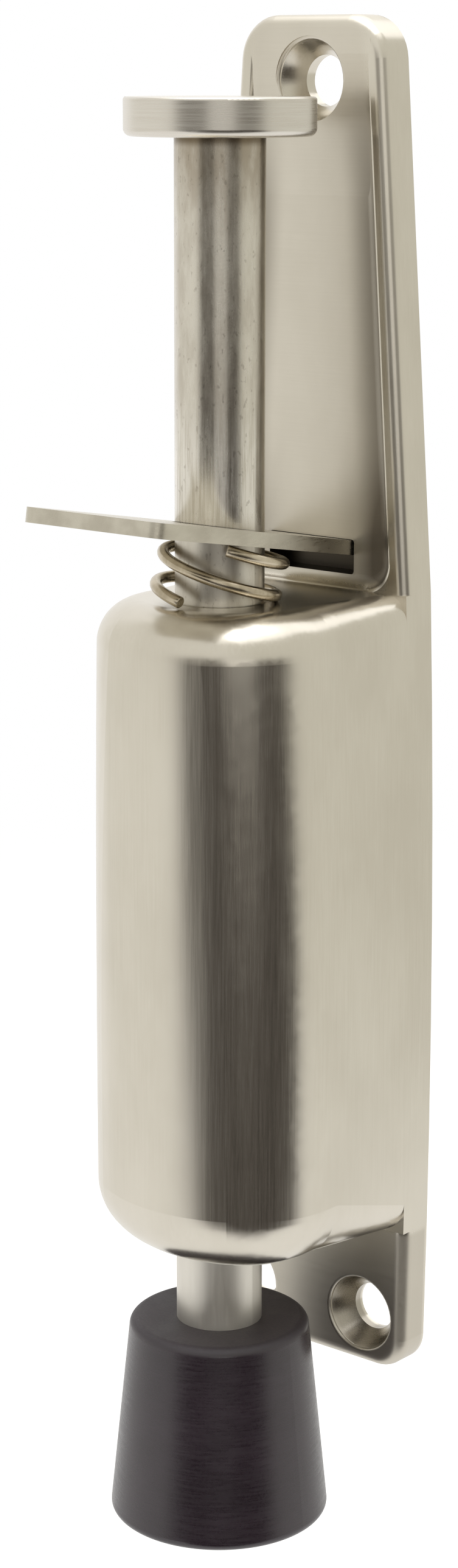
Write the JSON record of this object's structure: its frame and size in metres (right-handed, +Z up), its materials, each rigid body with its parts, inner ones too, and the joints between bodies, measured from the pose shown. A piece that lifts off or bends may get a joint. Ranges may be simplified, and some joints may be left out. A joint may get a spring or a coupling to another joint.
{
  "type": "door holder",
  "caption": "Step-on door holder: a sprung plunger with a rubber foot slides in a cast body that screws to the door, and a canted lever locks it until it is pressed.",
  "frame": {"origin": "centre of the top screw hole at the back face, which lies on the door", "axes": "+Z up along the plunger, +Y out of the back face into the door, +X across the door"},
  "size_m": [0.0372, 0.0501, 0.2072],
  "materials": {
    "body": "satin brushed",
    "rod": "matt, slightly mottled",
    "cap": "satin, turned",
    "lever": "satin, punched plate",
    "spring_wire": "drawn wire",
    "fittings": "plain",
    "rubber": "moulded, slight sheen"
  },
  "bodies": {
    "frame": {"mounting_body": "body", "return_spring": "spring_wire", "lever_spring": "spring_wire"},
    "seat": {"spring_seat_washer": "fittings"},
    "plunger": {"plunger_rod": "rod", "press_cap": "cap", "retaining_ring": "fittings", "rubber_foot": "rubber", "foot_washer": "fittings", "foot_screw": "fittings"},
    "lever": {"release_lever": "lever"}
  },
  "joints": [
    {"name": "plunger_slide", "type": "slide", "parent": "frame", "child": "seat", "axis": [0, 0, 1], "range_m": [-0.048, 0], "stiffness_N_per_m": 300, "springref_m": 0.03, "deforming": ["return_spring"]},
    {"name": "plunger_spin", "type": "hinge", "parent": "seat", "child": "plunger", "pos_m": [0, -0.024, -0.1], "axis": [0, 0, 1], "continuous": true},
    {"name": "lever_tilt", "type": "hinge", "parent": "frame", "child": "lever", "pos_m": [0, -0.0043, -0.06115], "axis": [1, 0, 0], "range_deg": [0, 8], "stiffness_Nm_per_rad": 0.5, "springref_deg": -11.46, "deforming": ["lever_spring"]}
  ]
}
